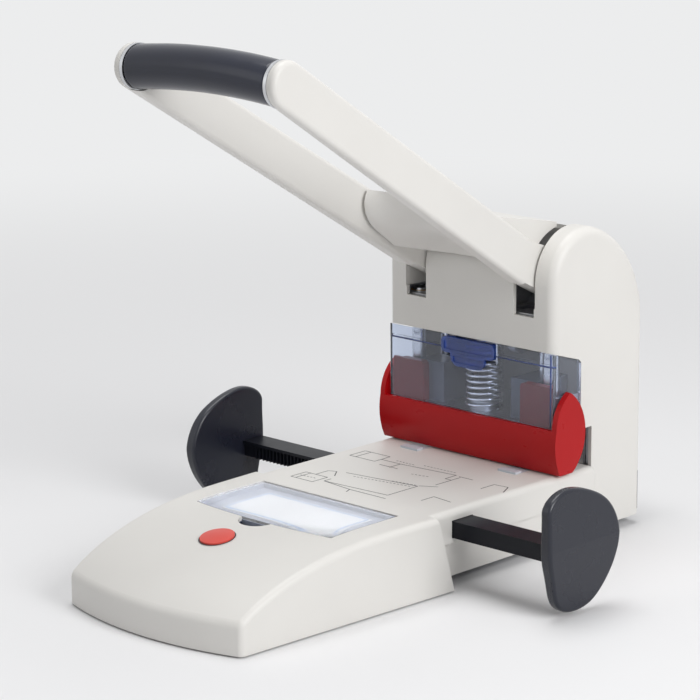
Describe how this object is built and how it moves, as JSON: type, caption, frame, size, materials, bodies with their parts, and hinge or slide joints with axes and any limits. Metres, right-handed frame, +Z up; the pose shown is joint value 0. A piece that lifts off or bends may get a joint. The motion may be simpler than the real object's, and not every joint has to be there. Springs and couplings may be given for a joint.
{
  "type": "lever hole punch",
  "caption": "Heavy-duty two-hole lever punch with long forked handle, clear pin cover, red guard bail and sliding side stops.",
  "frame": {"origin": "on the desk under the middle of the machine's bounding box", "axes": "+X to the user's right, +Y from the nose towards the tower, +Z up; the feet stand on z = 0"},
  "size_m": [0.313, 0.3584, 0.3192],
  "materials": {
    "shell": "satin moulded light grey",
    "grip": "smooth soft navy",
    "ring": "silver grey",
    "navy": "satin navy black",
    "red": "glossy red",
    "button": "glossy light red",
    "clear": "clear, faintly blue",
    "lid": "clear",
    "latch": "translucent royal blue",
    "steel": "zinc plated",
    "bright_steel": "ground",
    "bronze": "sintered",
    "pale": "pale grey",
    "dark": "dark grey",
    "foot": "matt black",
    "card": "blank card"
  },
  "bodies": {
    "chassis": {"axle_bushes": "bronze", "back_stop": "steel", "bail_pins": "bright_steel", "base_plate": "steel", "base_screws": "bright_steel", "base_shell": "shell", "button_socket": "dark", "button_spring": "bright_steel", "clear_cover": "clear", "die_bed": "steel", "finger_well": "dark", "front_left_foot": "foot", "front_right_foot": "foot", "label_card": "card", "label_tray": "pale", "left_die": "bright_steel", "left_die_carrier": "pale", "left_guide_column": "bright_steel", "left_pin_guide": "pale", "left_pin_release": "red", "left_side_frame": "steel", "lever_axle": "bright_steel", "lower_tie_rod": "bright_steel", "pinion_pin": "bright_steel", "rail_guide": "dark", "rear_cover": "shell", "rear_cover_screws": "bright_steel", "rear_left_foot": "foot", "rear_right_foot": "foot", "return_spring": "bright_steel", "right_die": "bright_steel", "right_die_carrier": "pale", "right_guide_column": "bright_steel", "right_pin_guide": "pale", "right_pin_release": "red", "right_side_frame": "steel", "throat_plate": "steel", "tower_shell": "shell", "upper_tie_rod": "bright_steel"},
    "lever": {"lever": "shell", "lever_grip": "grip", "grip_rings": "ring", "drive_yoke": "steel", "drive_pins": "bright_steel", "drive_rollers": "bright_steel"},
    "carriage": {"carriage": "steel", "carriage_bushes": "bronze", "left_punch_pin": "bright_steel", "right_punch_pin": "bright_steel"},
    "bail": {"guard_bail": "red"},
    "latch": {"cover_latch": "latch"},
    "right_stop": {"right_stop_rail": "navy", "right_stop": "navy"},
    "left_stop": {"left_stop_rail": "navy", "left_stop": "navy"},
    "pinion": {"stop_pinion": "dark"},
    "button": {"red_button": "button"},
    "lid": {"label_lid": "lid"},
    "chip_tray": {"chip_tray": "dark"}
  },
  "joints": [
    {"name": "lever_hinge", "type": "hinge", "parent": "chassis", "child": "lever", "pos_m": [0, 0.1242, 0.161], "axis": [1, 0, 0], "range_deg": [0, 35], "stiffness_Nm_per_rad": 2, "springref_deg": -34.38},
    {"name": "carriage_slide", "type": "slide", "parent": "chassis", "child": "carriage", "axis": [0, 0, -1], "range_m": [0, 0.027], "deforming": ["return_spring"]},
    {"name": "bail_hinge", "type": "hinge", "parent": "chassis", "child": "bail", "pos_m": [0, 0.1052, 0.087], "axis": [-1, 0, 0], "range_deg": [0, 75]},
    {"name": "latch_slide", "type": "slide", "parent": "chassis", "child": "latch", "axis": [0, 0, -1], "range_m": [0, 0.002], "stiffness_N_per_m": 300, "springref_m": -0.001},
    {"name": "right_stop_slide", "type": "slide", "parent": "chassis", "child": "right_stop", "axis": [1, 0, 0], "range_m": [-0.05, 0]},
    {"name": "left_stop_slide", "type": "slide", "parent": "chassis", "child": "left_stop", "axis": [-1, 0, 0], "range_m": [-0.05, 0]},
    {"name": "pinion_hinge", "type": "hinge", "parent": "chassis", "child": "pinion", "pos_m": [0, 0.0317, 0.035], "axis": [0, 0, 1], "range_deg": [-205, 0]},
    {"name": "button_slide", "type": "slide", "parent": "chassis", "child": "button", "axis": [0, 0.1725, -0.985], "range_m": [0, 0.003], "stiffness_N_per_m": 400, "springref_m": -0.002, "deforming": ["button_spring"]},
    {"name": "lid_hinge", "type": "hinge", "parent": "chassis", "child": "lid", "pos_m": [0, -0.0288, 0.0454], "axis": [-1, 0, 0], "range_deg": [0, 90]},
    {"name": "chip_tray_slide", "type": "slide", "parent": "chassis", "child": "chip_tray", "axis": [0, 1, 0], "range_m": [0, 0.08]}
  ],
  "couplings": [
    {"joint": "carriage_slide", "follows": "lever_hinge", "m_per_rad": 0.044199},
    {"joint": "left_stop_slide", "follows": "right_stop_slide", "ratio": 1},
    {"joint": "pinion_hinge", "follows": "right_stop_slide", "rad_per_m": 71.429}
  ]
}
